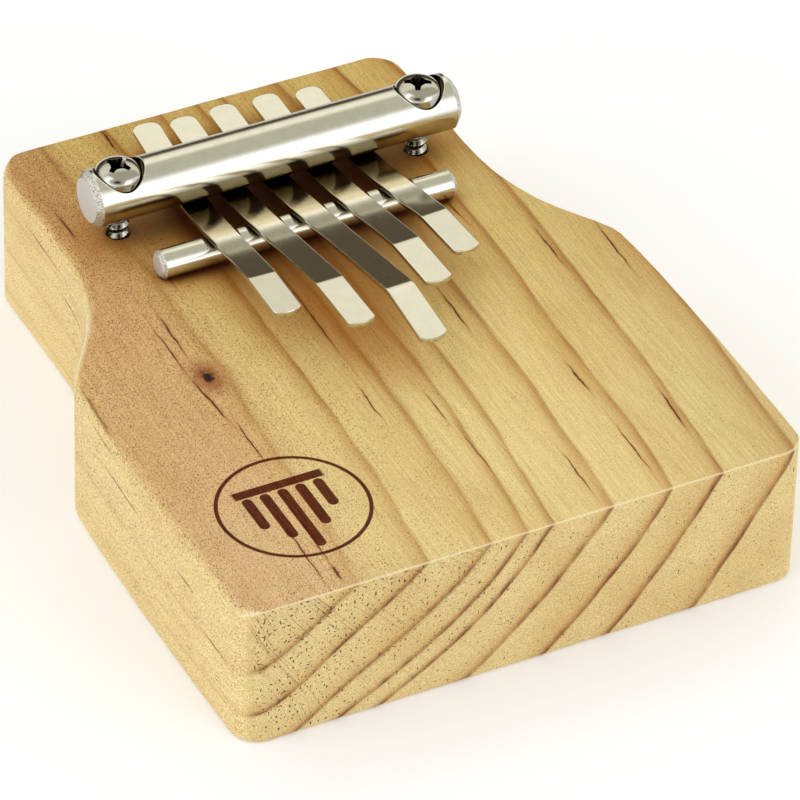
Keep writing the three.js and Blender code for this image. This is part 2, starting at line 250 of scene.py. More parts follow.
class Graph:
    """Short forms for building one node tree. A value is a socket, a number or a colour."""

    def __init__(self, tree):
        self.tree = tree

    def put(self, value, socket):
        if isinstance(value, bpy.types.NodeSocket):
            self.tree.links.new(value, socket)
        elif value is not None:
            socket.default_value = value

    def node(self, kind, *values, **settings):
        made = self.tree.nodes.new(kind)
        for key, value in settings.items():
            setattr(made, key, value)
        for socket, value in zip(made.inputs, values):
            self.put(value, socket)
        return made

    def math(self, operation, *values):
        return self.node("ShaderNodeMath", *values, operation=operation).outputs[0]

    def absolute(self, value):
        return self.math("ABSOLUTE", value)

    def maximum(self, a, b):
        return self.math("MAXIMUM", a, b)

    def add(self, *values):
        total = values[0]
        for value in values[1:]:
            total = self.math("ADD", total, value)
        return total

    def times(self, *values):
        total = values[0]
        for value in values[1:]:
            total = self.math("MULTIPLY", total, value)
        return total

    def less(self, a, b):
        return self.math("SUBTRACT", a, b)

    def vector(self, x, y, z):
        return self.node("ShaderNodeCombineXYZ", x, y, z).outputs[0]

    def noise(self, vector, scale=1.0, detail=2.0, roughness=0.5):
        made = self.node("ShaderNodeTexNoise", noise_dimensions="3D")
        settings = {"Vector": vector, "Scale": scale, "Detail": detail, "Roughness": roughness}
        for name, value in settings.items():
            self.put(value, made.inputs[name])
        return made.outputs[0]

    def stretched_noise(self, place, scales, *settings):
        """Noise over three values, each times its own scale. settings: detail, roughness."""
        axes = [self.times(axis, scale) for axis, scale in zip(place, scales)]
        return self.noise(self.vector(*axes), 1, *settings)

    def remap(self, value, low, high, to_low=0.0, to_high=1.0, smooth=False):
        made = self.node("ShaderNodeMapRange", value, low, high, to_low, to_high)
        if smooth:
            made.interpolation_type = "SMOOTHSTEP"
        return made.outputs[0]

    def ramp(self, value, stops):
        """stops: (position, colour or grey)."""
        made = self.node("ShaderNodeValToRGB", value)
        elements = made.color_ramp.elements
        while len(elements) < len(stops):
            elements.new(0.5)
        for element, (position, colour) in zip(elements, sorted(stops, key=lambda s: s[0])):
            element.position = position
            element.color = colour if hasattr(colour, "__len__") else (colour, colour, colour, 1)
        return made.outputs[0]

    def mix(self, factor, a, b, blend="MIX"):
        made = self.node("ShaderNodeMix", data_type="RGBA", blend_type=blend)
        self.put(factor, made.inputs[0])
        self.put(a, made.inputs[6])
        self.put(b, made.inputs[7])
        return made.outputs[2]

    def split(self, vector):
        made = self.node("ShaderNodeSeparateXYZ", vector)
        return made.outputs[0], made.outputs[1], made.outputs[2]


def linear(red, green, blue):
    """A scene-linear colour from an 8-bit screen colour."""
    values = []
    for channel in (red, green, blue):
        c = channel / 255
        values.append(c / 12.92 if c <= 0.04045 else ((c + 0.055) / 1.055) ** 2.4)
    return (*values, 1)


def new_material(name):
    """A new material, its net and its Principled shader."""
    material = bpy.data.materials.new(name)
    material.use_nodes = True
    net = Graph(material.node_tree)
    return material, net, material.node_tree.nodes["Principled BSDF"]


def millimetres(net):
    """The object's own coordinates in millimetres, as three sockets."""
    place = net.node("ShaderNodeTexCoord").outputs["Object"]
    scaled = net.node("ShaderNodeVectorMath", place, (1 / MM,) * 3, operation="MULTIPLY")
    return net.split(scaled.outputs[0])


def surface_normal(net):
    """The surface's normal, as three sockets."""
    return net.split(net.node("ShaderNodeNewGeometry").outputs["Normal"])


def set_bump(net, shader, height, strength, distance):
    """Gives the shader a bump: a height field, how strongly it shows, and its depth in millimetres."""
    bump = net.node("ShaderNodeBump")
    net.put(strength, bump.inputs["Strength"])
    bump.inputs["Distance"].default_value = distance * MM
    net.put(height, bump.inputs["Height"])
    net.put(bump.outputs[0], shader.inputs["Normal"])


# Pine

RING_CENTRE = (-82, 89)
RING_RADII = [77.6, 86.4, 95.4, 101.4, 105.5, 114.8, 125.2, 133.6, 146.7]
RING_RANGE = (45, 165)
FIRST_RING_DEPTH = 8
SAPWOOD = linear(233, 211, 152)
HEARTWOOD = linear(224, 189, 142)
LATEWOOD = linear(198, 146, 72)
RING_LINE = linear(122, 58, 28)
RING_EDGE = linear(150, 84, 30)
RUST = linear(172, 96, 32)
RESIN = linear(88, 30, 12)
PORE = linear(104, 56, 24)
END_PORE = linear(84, 64, 30)
BURN = linear(68, 18, 9)
BURN_LIGHT = linear(104, 36, 18)
# Painted shade colours: deep brown where the hardware closes the top in, golden where it half closes it in and
# under the tines
DEEP_SHADE = linear(82, 30, 11)
GOLDEN_SHADE = linear(194, 124, 36)
KNOT_HALO = linear(150, 78, 34)
KNOT_CORE = linear(60, 20, 10)
FINE_FLECKS = [(0.3, (0.83, 0.77, 0.69, 1)), (0.7, (1.17, 1.21, 1.25, 1))]
COARSE_FLECKS = [(0.3, (0.6, 0.5, 0.4, 1)), (0.7, (1.34, 1.42, 1.5, 1))]
FIBRES = [(0.3, (0.76, 0.66, 0.54, 1)), (0.7, (1.16, 1.2, 1.24, 1))]
END_TONE = (0.87, 0.86, 0.85, 1)
# Grey for the right side, and painted shade toward the back
GREY_AND_BACK_SHADE = (0.84, 0.83, 0.85, 1)
# Painted highlight on the rounded edges
EDGE_HIGHLIGHT = linear(246, 232, 196)

# Resin streaks on the top face: x and y of the middle, length, width, lean in mm of x per mm of y
TOP_STREAKS = [
    (-32.6, 6.5, 14, 0.45, 0.03),
    (-34.8, 3, 17, 0.3, -0.01),
    (-34.4, -12, 15, 0.45, -0.06),
    (-33.1, -26, 13, 0.35, 0.02),
    (-37.9, -56, 22, 0.35, 0.02),
    (-34.8, -52, 22, 0.4, 0.03),
    (-35.2, -64, 5, 0.7, 0.03),
    (-53.9, -9, 20, 0.7, 0.06),
    (-18.4, 65, 8, 0.5, 0),
    (-7.6, 4, 30, 0.5, 0.02),
    (-9.3, -25, 10, 0.35, 0),
    (0.6, -31, 9, 0.3, 0),
    (1.4, -46, 14, 0.25, 0),
    (16.2, -7, 15, 0.4, 0.03),
    (14.6, -58, 14, 0.3, 0.02),
    (27.2, -34, 9, 0.45, 0),
    (26.6, -56, 15, 0.35, 0.03),
    (38, -49, 13, 0.55, 0.08),
    (40.3, 2, 12, 0.4, 0.02),
    (50.9, -3, 16, 0.4, 0.04),
    (29.6, 21, 12, 0.5, -0.08),
    (-26, 24, 12, 0.3, 0),
    (-36.3, 44, 9, 0.5, 0),
]
# The same on the left side: z and y
SIDE_STREAKS = [
    (21.3, -19, 17, 0.4, 0.03),
    (20.6, -46, 7, 0.4, 0),
    (26.5, -12, 12, 0.3, 0.05),
    (14.8, -57, 9, 0.3, 0),
    (24, 46, 14, 0.35, 0.04),
    (19, 33, 12, 0.3, 0.02),
]


def ring_coordinates(net, x, y, z):
    """Distance and offsets from the tree's centre, with the grain's drift, wander and flow round the knot."""
    from_middle = net.math("DIVIDE", net.less(y, 10), 78)
    drift = net.times(3.6, net.less(1, net.times(from_middle, from_middle)))
    broad = net.stretched_noise((x, y, z), (0.03, 0.014, 0.03))
    fine = net.stretched_noise((x, y, z), (0.06, 0.05, 0.06))
    wander = net.add(net.times(net.less(broad, 0.5), 4), net.times(net.less(fine, 0.5), 1.8))
    dx, dy = net.less(x, KNOT[0]), net.less(y, KNOT[1])
    spread = net.add(net.times(dx, dx, 1 / 16), net.times(dy, dy, 1 / 60))
    pull = net.times(0.7, dx, net.math("EXPONENT", net.times(spread, -1)))
    grain_x = net.less(net.add(net.less(x, drift), wander), pull)
    depth = net.remap(z, TOP, 0, 0, -2.2)
    grain_z = net.add(z, net.remap(x, -36, -50, 0, 1.6, smooth=True))
    grain_z = net.add(grain_z, net.times(depth, net.remap(x, -44, -32, smooth=True)))
    away_x, away_z = net.less(grain_x, RING_CENTRE[0]), net.less(grain_z, RING_CENTRE[1])
    distance = net.math("SQRT", net.add(net.times(away_x, away_x), net.times(away_z, away_z)))
    return distance, away_x, away_z


def ring_profiles(net, distance):
    """A saw that rises to 1 at each ring line, and the line itself, dark for a millimetre and then gone."""
    low, high = RING_RANGE
    span = high - low
    saw_stops = [(0.0, 0.0), ((RING_RADII[0] - FIRST_RING_DEPTH - low) / span, 0.0)]
    line_stops = []
    for radius in RING_RADII:
        position = (radius - low) / span
        saw_stops += [(position, 1.0), (position + 0.4 / span, 0.0)]
        line_stops += [(position - 1.2 / span, 0.0), (position, 1.0), (position + 0.35 / span, 0.0)]
    place = net.remap(distance, low, high)
    return net.ramp(place, saw_stops), net.ramp(place, line_stops)


def streak_masks(net, streaks, across_axis, along_axis):
    """1 on each resin streak, and 1 on the rusty halo round it."""
    ripple = net.stretched_noise((across_axis, along_axis, 0.0), (0.5, 0.25, 1))
    wavy = net.add(across_axis, net.times(net.less(ripple, 0.5), 0.9))
    grit = net.stretched_noise((across_axis, along_axis, 3.0), (2, 0.6, 1))
    nearest = None
    for middle, along_middle, length, width, lean in streaks:
        off_along = net.less(along_axis, along_middle)
        off_across = net.less(wavy, net.add(middle, net.times(off_along, lean)))
        along = net.times(off_along, 2 / length)
        across = net.times(net.absolute(off_across), 2 / width)
        inside = net.less(net.less(1, net.times(along, along)), across)
        nearest = inside if nearest is None else net.maximum(nearest, inside)
    core = net.remap(net.add(nearest, net.times(grit, 1.1)), 0.6, 1.0)
    return core, net.remap(nearest, -2.2, 0.8, smooth=True)


def knot_mask(net, x, y):
    """1 at the knot's core, and 1 falling to 0 through its halo."""
    dx, dy = net.less(x, KNOT[0]), net.less(y, KNOT[1])
    rough = net.stretched_noise((x, y, 0.0), (0.8, 0.8, 1), 3)
    distance = net.math("SQRT", net.add(net.times(dx, dx), net.times(dy, dy, 0.35)))
    ragged = net.add(distance, net.times(net.less(rough, 0.5), 2.2))
    return net.remap(ragged, 1.3, 0.6), net.remap(ragged, 4.2, 1.0, smooth=True)


def emblem_mask(net, x, y):
    """1 on the burned emblem: a ring round five rounded bars of graded length, hung from a cross bar."""
    dx, dy = net.less(x, EMBLEM[0]), net.less(y, EMBLEM[1])
    distance = net.math("SQRT", net.add(net.times(dx, dx), net.times(dy, dy)))
    off_ring = net.absolute(net.less(distance, EMBLEM_RADIUS))
    mask = net.remap(off_ring, 0.45, 0.3)
    for index, half in enumerate(EMBLEM_HALF_LENGTHS):
        bar_x = net.less(dx, (index - 2) * EMBLEM_BAR_PITCH)
        off_middle = net.absolute(net.less(dy, EMBLEM_BAR_TOP - half))
        past = net.maximum(net.less(off_middle, half), 0.0)
        reach = net.math("SQRT", net.add(net.times(bar_x, bar_x), net.times(past, past)))
        mask = net.maximum(mask, net.remap(reach, 1.05, 0.9))
    off_cross = net.times(net.absolute(net.less(dy, EMBLEM_CROSS_Y)), 8.5)
    cross_bar = net.maximum(off_cross, net.absolute(dx))
    return net.maximum(mask, net.remap(cross_bar, 8.8, 8.3))


def ring_colour(net, rings, faces):
    """Sapwood and heartwood, darker toward each ring line. Returns the colour and the darkening."""
    distance, saw, line, cloud, uneven = rings
    end_grain, on_top, on_left = faces
    heart = net.times(net.remap(distance, 82, 73, smooth=True), net.remap(on_top, 0, 1, 0.12, 1))
    colour = net.mix(heart, SAPWOOD, HEARTWOOD)
    colour = net.mix(net.remap(cloud, 0.45, 0.75, 0, 0.3), colour, LATEWOOD)
    calm = net.times(net.remap(heart, 0, 1, 1, 0.3), net.remap(on_left, 0, 1, 1, 0.3))
    band = net.times(net.math("POWER", saw, 4), calm)
    colour = net.mix(net.times(band, net.remap(end_grain, 0, 1, 0.6, 0.8)), colour, LATEWOOD)
    vivid = net.times(net.remap(uneven, 0.35, 0.65, 0.3, 1.1), net.remap(end_grain, 0, 1, 0.5, 1.0))
    edge_colour = net.mix(end_grain, RING_EDGE, RING_LINE)
    return net.mix(net.times(line, calm, vivid), colour, edge_colour), band


def pore_mask(net, x, y, z, distance, end_grain):
    """Dark resin pores: short dashes along the grain, dots on the end grain, crowding toward the heart."""
    along = net.remap(end_grain, 0, 1, 2.0, 0.1)
    across = net.remap(end_grain, 0, 1, 5.5, 2.0)
    field = net.stretched_noise((x, y, z), (across, along, across), 0.5)
    drifts = net.stretched_noise((x, y, z), (0.35, 0.1, 0.35))
    crowd = net.add(net.remap(distance, 116, 76, 0.0, 0.9), net.times(net.less(drifts, 0.5), 1.6))
    limit = net.less(0.735, net.times(crowd, 0.1))
    return net.remap(net.less(field, limit), 0.0, 0.03)


def ray_mask(net, away_x, away_z, distance, y, end_grain):
    """Fine dark rays straight out from the tree's centre, on the end grain, strongest near the heart."""
    angle = net.math("ARCTAN2", away_z, away_x)
    field = net.stretched_noise((angle, distance, y), (420, 0.05, 0.3), 1.5, 0.6)
    near_heart = net.remap(distance, 106, 74, 0.15, 1)
    return net.times(end_grain, net.remap(field, 0.6, 0.7), near_heart)


def sheltered(net, reach, open_to, closed_at):
    """0 in the open, 1 where other surfaces within `reach` mm close the place in."""
    occlusion = net.node("ShaderNodeAmbientOcclusion", samples=6)
    occlusion.inputs["Distance"].default_value = reach * MM
    return net.remap(occlusion.outputs["AO"], open_to, closed_at)


def painted_shade_and_tone(net, colour, x, y, on_top):
    """Darkens the top toward the neck, partly as painted shade of the light falling off toward the back and
    partly as the wood's tone; greys the right side, and the back as painted shade; and paints shade under the
    hardware, golden where it half closes the top in and deep brown where it closes it in.
    """
    neck = net.remap(y, -45, 62, 0, 0.45)
    # How closed in the top is, for the painted shade below.
    shelter_shade = sheltered(net, 11, 0.92, 0.15)
    # Painted shade: the gamma deepens the top toward the neck, partly for the light falling off toward the back
    # and partly as the wood's tone, and deepens it where other surfaces close it in.
    depth = net.add(1, net.times(on_top, net.add(neck, net.times(shelter_shade, 0.3))))
    toned = net.node("ShaderNodeGamma", colour, depth).outputs[0]
    # Greyer toward the right, and greyer toward the back as painted shade of the light falling off there.
    grey_and_back_shade = net.add(net.remap(x, 25, 50, 0, 0.7), net.remap(y, 0, 62, 0, 0.5))
    toned = net.mix(net.times(on_top, grey_and_back_shade), toned, GREY_AND_BACK_SHADE, "MULTIPLY")
    # Painted shade, golden, where the hardware half closes the top in.
    toned = net.mix(net.times(on_top, net.remap(shelter_shade, 0.1, 0.5, 0, 0.7)), toned, GOLDEN_SHADE)
    # Painted shade, deep brown, where the hardware closes the top in, as between the bar and the front rod.
    deep_shade = net.times(on_top, net.remap(shelter_shade, 0.45, 0.85, 0, 0.97, smooth=True))
    return net.mix(deep_shade, toned, DEEP_SHADE)


def pine_material():
    """Pine: rings, painted shade under the tines, fibres, flecks, pores, rays, streaks, knot, a darker neck
    (partly painted shade, partly tone), greying, painted shade under the hardware, a painted highlight on the
    rounded edges and the burned emblem.
    """
    material, net, shader = new_material("pine")
    x, y, z = millimetres(net)
    distance, away_x, away_z = ring_coordinates(net, x, y, z)
    saw, line = ring_profiles(net, distance)
    normal_x, normal_y, normal_z = surface_normal(net)
    end_grain = net.remap(net.absolute(normal_y), 0.6, 0.85)
    on_top = net.remap(normal_z, 0.55, 0.95)
    on_left = net.remap(normal_x, -0.4, -0.8)
    cloud = net.stretched_noise((x, y, z), (0.06, 0.02, 0.06), 3)
    uneven = net.stretched_noise((x, y, z), (0.3, 0.07, 0.12))
    colour, band = ring_colour(net, (distance, saw, line, cloud, uneven), (end_grain, on_top, on_left))

    # Painted shade under the tines: a golden, cloudy patch round the middle of the top.
    tine_shade_x, tine_shade_y = net.times(net.less(x, -1), 1 / 11), net.times(net.less(y, 2), 1 / 28)
    tine_shade = net.add(net.times(tine_shade_x, tine_shade_x), net.times(tine_shade_y, tine_shade_y), net.times(cloud, 1.4))
    colour = net.mix(net.times(on_top, net.remap(tine_shade, 1.9, 0.6, 0, 0.6, smooth=True)), colour, GOLDEN_SHADE)

    fibre = net.stretched_noise((x, y, z), (2.6, 0.1, 2.6), 3, 0.65)
    colour = net.mix(0.45, colour, net.ramp(fibre, FIBRES), "MULTIPLY")
    fleck = net.stretched_noise((x, y, z), (6, 4, 6), 2, 0.7)
    heart = net.remap(distance, 84, 76)
    rough_grain = net.maximum(net.maximum(end_grain, on_left), heart)
    speckled = net.mix(rough_grain, net.ramp(fleck, FINE_FLECKS), net.ramp(fleck, COARSE_FLECKS))
    colour = net.mix(1, colour, speckled, "MULTIPLY")
    colour = net.mix(end_grain, colour, END_TONE, "MULTIPLY")

    pores = pore_mask(net, x, y, z, distance, end_grain)
    pore_colour = net.mix(end_grain, PORE, END_PORE)
    colour = net.mix(net.times(pores, net.remap(end_grain, 0, 1, 0.75, 0.95)), colour, pore_colour)
    rays = ray_mask(net, away_x, away_z, distance, y, end_grain)
    colour = net.mix(net.times(rays, 0.65), colour, PORE)

    top_core, top_halo = streak_masks(net, TOP_STREAKS, x, y)
    side_core, side_halo = streak_masks(net, SIDE_STREAKS, z, y)
    streaks = net.add(net.times(on_top, top_core), net.times(on_left, side_core))
    halo = net.add(net.times(on_top, top_halo), net.times(on_left, side_halo, 0.5))
    colour = net.mix(net.times(halo, 0.42), colour, RUST)
    colour = net.mix(net.times(streaks, 0.9), colour, RESIN)
    core, knot_halo = knot_mask(net, x, y)
    colour = net.mix(net.times(on_top, knot_halo, 0.7), colour, KNOT_HALO)
    colour = net.mix(net.times(on_top, core), colour, KNOT_CORE)
    colour = painted_shade_and_tone(net, colour, x, y, on_top)

    # Painted highlight along the rounded top edges at the front and back.
    steep = net.absolute(normal_y)
    bevel = net.times(net.remap(steep, 0.2, 0.45), net.remap(steep, 0.98, 0.85))
    edge_highlight = net.times(bevel, net.remap(normal_z, 0.1, 0.3))
    colour = net.mix(net.times(edge_highlight, 0.5), colour, EDGE_HIGHLIGHT)

    burn_grain = net.stretched_noise((x, y, 0.0), (2.5, 0.3, 1), 3)
    burn = net.times(on_top, emblem_mask(net, x, y))
    burn_colour = net.mix(net.remap(burn_grain, 0.4, 0.7), BURN, BURN_LIGHT)
    colour = net.mix(net.times(burn, 0.96), colour, burn_colour)

    net.put(colour, shader.inputs["Base Color"])
    net.put(net.remap(fibre, 0.3, 0.7, 0.5, 0.66), shader.inputs["Roughness"])
    net.put(net.remap(burn, 0, 1, 0.2, 0.02), shader.inputs["Specular IOR Level"])
    raised = net.add(net.times(fibre, 0.5), net.times(fleck, 0.4), net.times(band, 0.3))
    relief = net.less(raised, net.add(net.times(pores, 0.6), streaks, net.times(burn, 1.2)))
    set_bump(net, shader, relief, 0.4, 0.06)
    return material


# Metals

NICKEL = (0.69, 0.675, 0.61, 1)
# Painted reflections on the bar: brown of the wood below on its lower half, dark on its back
UNDERSIDE_WOOD_REFLECTION = (0.7, 0.63, 0.48, 1)
BACK_DARK_REFLECTION = (0.5, 0.45, 0.36, 1)
SPRING_STEEL = (0.68, 0.655, 0.575, 1)
SCREW_PLATE = (0.5, 0.49, 0.44, 1)
TARNISH = linear(120, 112, 90)
CHIP_DARK = linear(120, 114, 104)
CHIP_BRIGHT = (0.95, 0.94, 0.9, 1)
END_FACE = linear(200, 195, 190)
# Painted shade where other surfaces close the metal in: reach, open and closed occlusion, and how much it
# darkens
SHELTER_SHADE = (6, 0.7, 0.1, 2)


def metal_material(name, colour, roughness, draw_lines, dirt, ends=(), shelter_shade=SHELTER_SHADE, mottle=0.1, bar=False):
    """Bright plated steel, with painted shade where it is sheltered.

    Fine lines run along the axis that `draw_lines` scales least. Dull specks grow with `dirt`, and dull
    patches with `mottle`. The metal past the first two values of `ends` in x is roughly chamfered, and the
    third is the chamfer's length. The shade settings are what the occlusion mask takes, and how much that
    painted shade darkens. With `bar`, the lower half gets a painted brown reflection of the wood below and
    the back a painted dark reflection.
    """
    material, net, shader = new_material(name)
    x, y, z = millimetres(net)
    scratch = net.stretched_noise((x, y, z), draw_lines, 3, 0.6)
    patch = net.noise(net.vector(x, y, z), 0.35, 3, 0.6)
    grain = net.noise(net.vector(x, y, z), 5, 2, 0.7)
    speck = net.remap(net.noise(net.vector(x, y, z), 2.6, 2), 0.70, 0.78)
    sawn, face = 0.0, 0.0
    if ends:
        past = net.maximum(net.less(ends[0], x), net.less(x, ends[1]))
        face = net.remap(past, ends[2] - 0.08, ends[2] - 0.02)
        sawn = net.times(net.remap(past, -0.25, 0.15), net.less(1, face))
    tint = net.mix(net.times(speck, dirt), colour, tuple(0.35 * c for c in colour[:3]) + (1,))
    tint = net.mix(net.remap(patch, 0.35, 0.7, 0.0, mottle), tint, TARNISH)
    chips = net.stretched_noise((x, y, z), (1.5, 4, 4), 3, 0.7)
    tint = net.mix(net.times(sawn, net.remap(chips, 0.5, 0.62)), tint, CHIP_DARK)
    tint = net.mix(net.times(sawn, net.remap(chips, 0.42, 0.3)), tint, CHIP_BRIGHT)
    if bar:
        # Painted brown reflection of the wood on the lower half, and painted dark reflection on the back.
        _, normal_y, normal_z = surface_normal(net)
        tint = net.mix(net.remap(normal_z, 0.13, 0.02), tint, UNDERSIDE_WOOD_REFLECTION, "MULTIPLY")
        tint = net.mix(net.remap(normal_y, 0.27, 0.4), tint, BACK_DARK_REFLECTION, "MULTIPLY")
    tint = net.mix(net.times(face, 0.8), tint, END_FACE)
    # Painted shade: a gamma darkens the metal where other surfaces close it in, as under the bar and in the
    # screws' recesses.
    depth = net.add(1, net.times(sheltered(net, *shelter_shade[:3]), shelter_shade[3]))
    net.put(net.node("ShaderNodeGamma", tint, depth).outputs[0], shader.inputs["Base Color"])
    net.put(net.less(1, net.times(net.add(sawn, face), 0.6)), shader.inputs["Metallic"])
    rough = net.remap(scratch, 0.3, 0.7, roughness * 0.7, roughness * 1.4)
    grainy = net.times(net.less(grain, 0.5), 0.12)
    cut_ends = net.add(net.times(sawn, 0.12), net.times(face, 0.25))
    rough = net.add(rough, net.times(speck, 0.2), grainy, cut_ends)
    net.put(rough, shader.inputs["Roughness"])
    height = net.add(scratch, net.times(sawn, chips, 7))
    set_bump(net, shader, height, net.add(0.1, net.times(sawn, 0.7)), 0.03)
    return material


# The board


def side_outline(side):
    """One side of the plan outline from the back corner to the front corner, for side +1 (+X) or -1."""
    half_length = BOARD_HIGH[1]
    half_width = BOARD_HIGH[0]
    neck = NECK_HALF_WIDTH + side * NECK_SHIFT
    flare = half_width - neck
    shift = LEFT_FLARE_SHIFT if side < 0 else 0
    mid = np.array([neck + FLARE_MID_SHARE * flare, FLARE_MID_Y + shift])
    end = np.array([neck + FLARE_END_SHARE * flare, FLARE_END_Y + shift])
    into_mid, out_of_mid = (reach * FLARE_DIRECTION for reach in FLARE_MID_HANDLES)
    into_end, out_of_end = FLARE_END_HANDLES
    into_widest, out_of_widest, into_corner = (WIDEST_Y + handle for handle in WIDEST_HANDLES)
    neck_start = (neck, half_length - BACK_CORNER)
    neck_end = (neck, FLARE_TOP_Y)
    neck_handles = [(neck, handle_y) for handle_y in NECK_HANDLES_Y]
    widest = (half_width, WIDEST_Y)
    front_x = half_width - FRONT_TAPER
    corner_y = FRONT_CORNER - half_length
    pieces = [
        arc((neck - BACK_CORNER, half_length - BACK_CORNER), BACK_CORNER, 90, 0, 14),
        bezier(neck_start, *neck_handles, neck_end, 20),
        bezier(neck_end, (neck, FLARE_TOP_Y - FLARE_TOP_HANDLE), mid - into_mid, mid, 40),
        bezier(mid, mid + out_of_mid, end + into_end, end, 24),
        bezier(end, end + out_of_end, (half_width, into_widest), widest, 24),
        bezier(widest, (half_width, out_of_widest), (half_width, into_corner), (front_x, corner_y), 16),
        arc((front_x - FRONT_CORNER, corner_y), FRONT_CORNER, 0, -90, 14)[1:],
    ]
    points = np.concatenate(pieces)
    points[:, 0] *= side
    return points


def board_outline():
    """The whole plan, counter-clockwise seen from above."""
    right = side_outline(1)
    left = side_outline(-1)
    front_edge = np.linspace(right[-1], left[-1], 40)[1:-1]
    back_edge = np.linspace(left[0], right[0], 30)[1:-1]
    return np.concatenate([right, front_edge, left[::-1], back_edge])[::-1]


def outline_normals(points):
    """Outward plan normals of a closed counter-clockwise outline."""
    along = np.roll(points, -1, axis=0) - np.roll(points, 1, axis=0)
    along /= np.linalg.norm(along, axis=1)[:, None]
    return np.c_[along[:, 1], -along[:, 0]]


def board():
    """The board: its edges rounded, most along the left side's top, and its two screw holes."""
    plan = board_outline()
    normals = outline_normals(plan)
    wear = np.array([math.sin(0.9 * i) + math.sin(0.37 * i + 1) for i in range(len(plan))])
    soft = np.clip(-normals[:, 0] - 0.35, 0, 0.6) / 0.6
    top_radius = 0.45 + 1.9 * soft + 0.05 * wear
    bottom_radius = 0.6 + 0.05 * wear
    rings = []
    for angle in np.radians(np.linspace(90, 0, 6)):
        inset = bottom_radius * (1 - math.cos(angle))
        rings.append(np.c_[plan - normals * inset[:, None], bottom_radius * (1 - math.sin(angle))])
    for angle in np.radians(np.linspace(0, 90, 8)):
        inset = top_radius * (1 - math.cos(angle))
        rings.append(np.c_[plan - normals * inset[:, None], TOP - top_radius * (1 - math.sin(angle))])
    vertices, faces = loft(rings, cap_start=True, cap_end=False)
    first = len(vertices) - len(plan)
    mesh_builder = bmesh.new()
    made = [mesh_builder.verts.new(Vector(v) * MM) for v in vertices]
    for face in faces:
        mesh_builder.faces.new([made[i] for i in face])
    edges = ring_edges(mesh_builder, made[first:])
    for screw in SCREWS.values():
        edges += pilot_hole(mesh_builder, screw)
    bmesh.ops.triangle_fill(mesh_builder, use_beauty=True, edges=edges, normal=(0, 0, 1))
    bmesh.ops.recalc_face_normals(mesh_builder, faces=mesh_builder.faces)
    mesh = bpy.data.meshes.new("pine_board")
    mesh_builder.to_mesh(mesh)
    mesh_builder.free()
    finish_shading(mesh, 25)
    return add_object("pine_board", mesh)


def ring_edges(mesh_builder, ring):
    """The edges of a closed ring of vertices."""
    return [mesh_builder.edges.get((a, b)) for a, b in zip(ring, ring[1:] + ring[:1])]


def around(screw, radius, angle, height):
    """A point round a screw's axis."""
    return (screw["x"] + radius * math.cos(angle), screw["y"] + radius * math.sin(angle), height)


def pilot_hole(mesh_builder, screw):
    """A blind hole with a ragged rim. Returns its outer edges."""
    count = 36
    depth = TOP - screw["tip"] + 1
    rings = []
    for radius, height in ((PILOT_RADIUS, 0), (PILOT_RADIUS - 0.08, -0.25), (PILOT_RADIUS - 0.08, -depth)):
        ring = []
        for i in range(count):
            angle = 2 * math.pi * i / count
            ragged = 0.05 * math.sin(5 * angle) + 0.03 * math.sin(11 * angle + 1)
            place = radius + (ragged if height > -1 else 0)
            ring.append(mesh_builder.verts.new(Vector(around(screw, place, angle, TOP + height)) * MM))
        rings.append(ring)
    for upper, lower in zip(rings, rings[1:]):
        for i in range(count):
            j = (i + 1) % count
            mesh_builder.faces.new((upper[j], upper[i], lower[i], lower[j]))
    mesh_builder.faces.new(rings[-1][::-1])
    return ring_edges(mesh_builder, rings[0])


# Rods and bar


def turned(name, radius, left, right, chamfer, y, z, sides=120, step=0.6, flats=()):
    """A rod along X with roughly cut chamfers.

    flats: each milled flat's left and right ends, its tilt in radians and its distance from the axis.
    """
    stations = {left, left + chamfer, right - chamfer, right}
    stations |= set(np.arange(left + chamfer, right - chamfer, step))
    for flat_left, flat_right, _, _ in flats:
        stations |= {flat_left, flat_left + 0.25, flat_right - 0.05, flat_right}
    angles = set(full_turn(sides))
    for _, _, tilt, height in flats:
        reach = math.acos(height / radius)
        angles |= {math.pi / 2 - tilt - reach, math.pi / 2 - tilt + reach}
    angles = np.array(sorted(angles))
    rings = []
    for x in sorted(stations):
        from_end = min(x - left, right - x)
        size = radius - chamfer * (1 - min(from_end / chamfer, 1))
        cut_marks = 0.05 * np.sin(7 * angles + x) + 0.04 * np.sin(13 * angles)
        radii = np.full(len(angles), size) + (cut_marks if from_end < chamfer * 0.999 else 0)
        for flat_left, flat_right, tilt, height in flats:
            if flat_left < x < flat_right:
                facing = np.cos(angles - (math.pi / 2 - tilt))
                limit = np.where(facing > 0.01, height / np.maximum(facing, 0.01), 1e9)
                radii = np.minimum(radii, limit)
        rings.append([(x, y - r * math.cos(a), z + r * math.sin(a)) for r, a in zip(radii, angles)])
    vertices, faces = loft(rings)
    return make_object(name, vertices, faces, 28)


def upright(name, radius, x, y, low, high, sides=96):
    """A plain upright cutter."""
    angles = full_turn(sides)
    ring = [(x + radius * math.cos(a), y + radius * math.sin(a)) for a in angles]
    vertices, faces = loft([[(*p, low) for p in ring], [(*p, high) for p in ring]])
    return make_object(name, vertices, faces)


